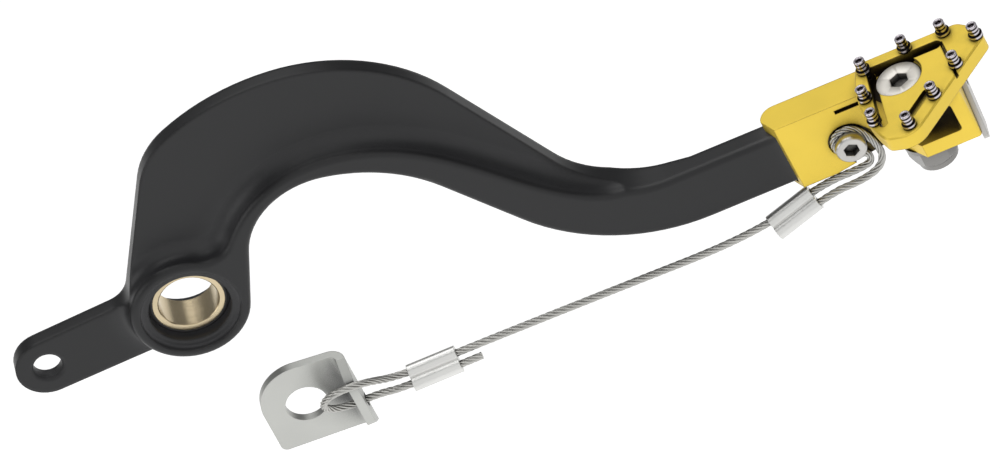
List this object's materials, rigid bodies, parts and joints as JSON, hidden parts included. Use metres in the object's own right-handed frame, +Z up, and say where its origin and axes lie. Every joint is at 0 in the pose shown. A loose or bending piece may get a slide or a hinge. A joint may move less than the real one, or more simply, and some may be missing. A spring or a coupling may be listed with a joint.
{
  "type": "motorcycle brake pedal",
  "caption": "Arched rear brake pedal with pivot boss and clevis arm, turnable toothed step tip in a clamped holder, and a wire safety cable with an eye tab.",
  "frame": {"origin": "centre of the pivot bore, in the middle of the bush's length", "axes": "+X from the pivot towards the tip, +Y inboard along the pivot away from the rider's boot, +Z up"},
  "size_m": [0.2866, 0.0507, 0.122],
  "materials": {
    "black_alloy": "black anodised, fine satin",
    "gold_alloy": "gold anodised, satin",
    "bronze": "bored bearing bronze",
    "seal_rubber": "matt black rubber",
    "steel": "zinc plated, turned",
    "satin_steel": "satin stainless",
    "pin_steel": "turned stainless",
    "nylon": "nylon locking ring",
    "sleeve_metal": "pressed sleeve, satin",
    "cable_steel": "stranded wire in a clear coat",
    "plated_sheet": "matt plated sheet"
  },
  "bodies": {
    "pedal": {"pedal_arm": "black_alloy", "pivot_bush": "bronze", "outer_dust_seal": "seal_rubber", "inner_dust_seal": "seal_rubber", "tip_holder": "gold_alloy", "clamp_bolt": "steel", "clamp_collar": "steel", "clamp_nut": "steel", "tip_screw": "satin_steel", "tip_washer": "steel", "tip_nut": "steel", "nut_insert": "nylon", "end_plate": "satin_steel", "end_plate_screw": "steel", "upper_ferrule": "sleeve_metal", "lower_ferrule": "sleeve_metal", "safety_cable": "cable_steel"},
    "tip": {"tip_pad": "gold_alloy", "tip_pin_1": "pin_steel", "tip_pin_2": "pin_steel", "tip_pin_3": "pin_steel", "tip_pin_4": "pin_steel", "tip_pin_5": "pin_steel", "tip_pin_6": "pin_steel", "tip_pin_7": "pin_steel", "tip_pin_8": "pin_steel", "tip_pin_9": "pin_steel"},
    "tab": {"cable_tab": "plated_sheet"}
  },
  "joints": [
    {"name": "tip_swivel", "type": "hinge", "parent": "pedal", "child": "tip", "pos_m": [0.2067, -0.016, -0.014], "axis": [0, 0, 1], "range_deg": [-60, 60]},
    {"name": "tab_swing", "type": "hinge", "parent": "pedal", "child": "tab", "pos_m": [0.0307, -0.0142, -0.0502], "axis": [1, 0, 0], "range_deg": [-8, 3]}
  ]
}
